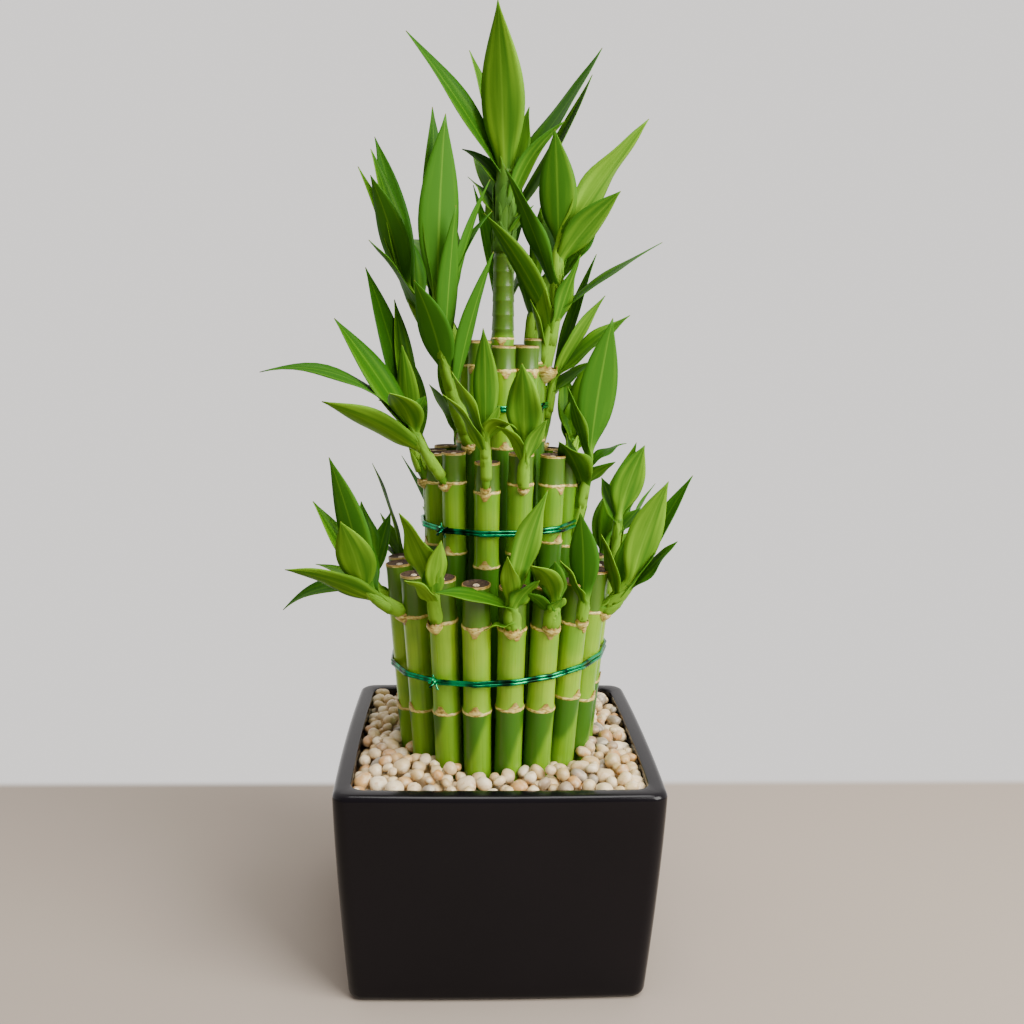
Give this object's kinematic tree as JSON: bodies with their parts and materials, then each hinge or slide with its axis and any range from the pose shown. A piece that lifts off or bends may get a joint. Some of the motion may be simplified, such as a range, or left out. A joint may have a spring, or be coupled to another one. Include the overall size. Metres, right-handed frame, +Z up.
{
  "type": "potted lucky bamboo tower",
  "caption": "Three-tier tower of tied lucky bamboo canes with leafy shoots, standing in pebbles in a square black glazed pot; a free-standing house plant.",
  "frame": {"origin": "middle of the pot's underside, on the surface it stands on", "axes": "+Z up along the tower, -Y towards the viewer, +X to the viewer's right"},
  "size_m": [0.1906, 0.1717, 0.4247],
  "materials": {
    "pot_glaze": "glossy black glaze",
    "pebbles": "tumbled smooth, slightly polished",
    "canes": "waxy green stem",
    "leaves": "glossy living leaf",
    "tie_foil": "metallic green foil over wire"
  },
  "bodies": {
    "root": {"centre_cane": "canes", "crown_shoot": "leaves", "inner_cane_01": "canes", "inner_cane_02": "canes", "inner_cane_03": "canes", "inner_cane_04": "canes", "inner_cane_05": "canes", "inner_cane_06": "canes", "inner_cane_07": "canes", "inner_cane_08": "canes", "inner_far_left_shoot": "leaves", "inner_left_shoot": "leaves", "inner_low_right_shoot": "leaves", "inner_right_shoot": "leaves", "inner_tie": "tie_foil", "middle_cane_01": "canes", "middle_cane_02": "canes", "middle_cane_03": "canes", "middle_cane_04": "canes", "middle_cane_05": "canes", "middle_cane_06": "canes", "middle_cane_07": "canes", "middle_cane_08": "canes", "middle_cane_09": "canes", "middle_cane_10": "canes", "middle_cane_11": "canes", "middle_cane_12": "canes", "middle_cane_13": "canes", "middle_far_left_shoot": "leaves", "middle_front_left_shoot": "leaves", "middle_front_right_shoot": "leaves", "middle_left_shoot": "leaves", "middle_right_shoot": "leaves", "middle_tie": "tie_foil", "outer_cane_01": "canes", "outer_cane_02": "canes", "outer_cane_03": "canes", "outer_cane_04": "canes", "outer_cane_05": "canes", "outer_cane_06": "canes", "outer_cane_07": "canes", "outer_cane_08": "canes", "outer_cane_09": "canes", "outer_cane_10": "canes", "outer_cane_11": "canes", "outer_cane_12": "canes", "outer_cane_13": "canes", "outer_cane_14": "canes", "outer_cane_15": "canes", "outer_cane_16": "canes", "outer_cane_17": "canes", "outer_cane_18": "canes", "outer_front_left_shoot": "leaves", "outer_front_right_shoot": "leaves", "outer_front_shoot": "leaves", "outer_left_shoot": "leaves", "outer_right_shoot": "leaves", "outer_tie": "tie_foil", "pebble_bed": "pebbles", "pot": "pot_glaze"}
  },
  "joints": []
}
